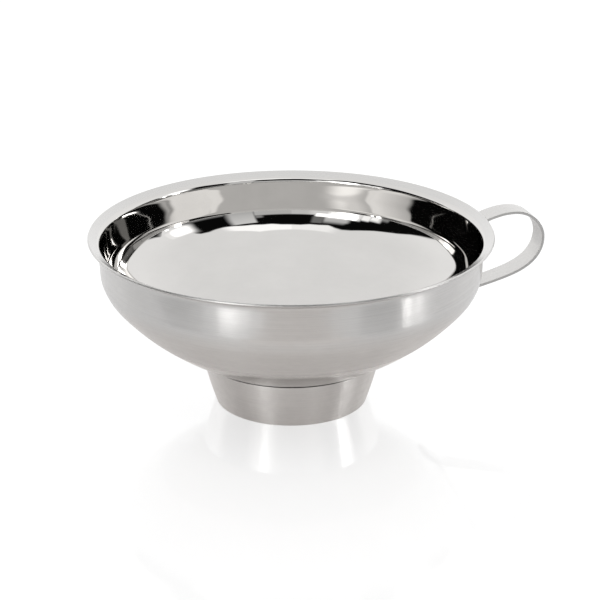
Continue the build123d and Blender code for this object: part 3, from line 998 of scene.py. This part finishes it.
# steps down the skirt: azimuth from, to, fade; elevation where it starts, is full; level
SKIRT_STEPS = [
    (-143, -134.5, 1.2, 27, 22.5, 1.2), (-134.5, -128.5, 1.0, 24, 19.5, 1.45),
    (-128.5, -122.5, 1.0, 19.5, 16, 1.5), (-122.5, -116, 1.0, 18, 9, 0.35),
]


def left_light():
    """Overlapping panels, and round them a skirt that only the first reflection sees."""
    box = (patch(az=(-164.5, -137), el=(16, 24.5), level=2.2, soft=(1.5, 1.2))
           + patch(az=(-156, -137), el=(-4, 24.5), level=1.6, soft=(1.5, 1.2))
           + patch(az=(-149, -139.5), el=(-4, 23), level=2.7, soft=(3.5, 2.5))
           + patch(az=(-137, -121), el=(-4, 20), level=1.1, soft=(1.5, 1.8)))
    low = patch(az=(-150, -138), el=(-12, 2), level=3.5, soft=(2, 2))
    box = box * (1 - third * elev.ramp(8, 12)) + low * (1 - second)
    # at the second reflection: a wider panel, cut off by a dark gap
    wide = patch(az=(-159, -128.5), el=(6, 17), level=2.6, soft=(1.0, 1.5))
    gap = two * azim.band(-128.5, -118, 0.8) * elev.band(4, 24, 1.5)
    box = box.max(wide * two) * (1 - gap)
    skirt = (azim.band(-158, -142, 1.8) * (elev.ramp(42.5, 30) * 0.72 + elev.ramp(28, 24) * 0.5)
             ).max(patch(az=(-166, -158), el=(25, 40), level=0.22, soft=(1.5, 2)))
    for az0, az1, fade, start, full, level in SKIRT_STEPS:
        skirt = skirt.max(azim.band(az0, az1, fade) * elev.ramp(start, full) * level)
    return box.max(skirt * elev.ramp(0, 5) * (1 - second))


def opening_light():
    """Dim surfaces in the opening: a panel on the right, a low front and grey patches."""
    panel = (azim.ramp(135, 141.5) * azim.ramp(157, 154.5) * elev.ramp(38, 35.5)
             * (0.55 + elev.max(0) * 0.010) * (1 - third * 0.4))
    front_level = (0.66 + azim.ramp(0, -10) * 0.12
                   + azim.ramp(-60, -61) * azim.ramp(-171, -165) * 0.2)
    front = azim.abs().ramp(154.5, 157) * elev.ramp(22.5, 19.0) * front_level * (1 - third)
    grey = (patch(az=(112, 137), el=(-9, 11), level=0.27, soft=(2, 3))
            + patch(az=(-157, -141), el=(25, 34.5), level=0.70, soft=(2, 2.5)) * (1 - second)
            + patch(az=(156, 161), el=(21, 26), level=0.35, soft=(1.5, 1.5)))
    return panel, front, grey * (1 - third * 0.6)


edge_first = edge_curve(EDGE_FIRST)
edge = edge_first + (edge_curve(EDGE_LATER) - edge_first) * second + third * 3
tent_mask = (elev - edge).ramp(-1.7, 1.7)
below_light = left_light()
for light in opening_light():
    below_light = below_light.max(light)
studio = tent_light() * tent_mask + below_light.max(0.004) * (1 - tent_mask)
studio = studio.max(right_light())
# the camera itself sees an even near-white
cam_ray = Num(wt, light_path.outputs["Is Camera Ray"])
node(wt, "OutputWorld", node(wt, "Background", Color=(1, 1, 1, 1),
                             Strength=studio * (1 - cam_ray) + cam_ray * 1.02))

# ---------------------------------------------------------------------- floor
FLOOR_HALF, FLOOR_Z = 4.0, -0.0001       # metres


def floor_material():
    """Pale glossy table: the metal sees it lit and mirror-like at low angles, the
    camera sees it as near-white with a faint image of the funnel."""
    made, t = new_material("floor_white")
    x, y, _ = position(t)
    dist = axis_distance(x, y) * 1000
    across = (x * RIGHT.x + y * RIGHT.y) * 1000
    away = (x * AWAY.x + y * AWAY.y) * 1000
    # painted bounce light: warmer under the funnel, for light thrown back by the steel, and warmer
    # also in a strip towards the camera
    painted_warm_light = dist.ramp(120, 60).max(across.band(-45, 62, 14) * away.ramp(-60, -120))

    def tinted(cool, warmer):
        return node(t, "Mix", data_type="RGBA", A=(*cool, 1), B=(*warmer, 1),
                    Factor=painted_warm_light).outputs["Result"]

    def gloss():
        return node(t, "BsdfGlossy", Roughness=0.06, Color=(1, 1, 1, 1))

    # the diffuse and glow colours that the metal sees carry the painted warm light near the funnel
    seen_by_metal = node(
        t, "MixShader", node(t, "Fresnel", IOR=1.5),
        node(t, "AddShader",
             node(t, "BsdfDiffuse", Color=tinted((0.38, 0.38, 0.382), (0.38, 0.364, 0.356))),
             node(t, "Emission", Strength=0.42,
                  Color=tinted((1.0, 1.0, 1.01), (1.0, 0.955, 0.93)))),
        gloss())
    seen_by_camera = node(
        t, "MixShader", 0.10 * dist.ramp(75, 25) + 0.13 * dist.ramp(420, 60),
        node(t, "AddShader", node(t, "BsdfDiffuse", Color=(0.30, 0.30, 0.30, 1)),
             node(t, "Emission", Strength=0.80)),
        gloss())
    is_camera = node(t, "LightPath").outputs["Is Camera Ray"]
    node(t, "OutputMaterial", node(t, "MixShader", is_camera, seen_by_metal, seen_by_camera))
    return made


floor_mesh = bpy.data.meshes.new("floor")
floor_corners = [(x * FLOOR_HALF, y * FLOOR_HALF, FLOOR_Z)
                 for x, y in ((-1, -1), (1, -1), (1, 1), (-1, 1))]
floor_mesh.from_pydata(floor_corners, [], [(0, 1, 2, 3)])
floor_mesh.materials.append(floor_material())
floor = bpy.data.objects.new("floor", floor_mesh)
bpy.context.scene.collection.objects.link(floor)

view = bpy.context.scene.view_settings
view.view_transform = "Standard"
view.look = "None"
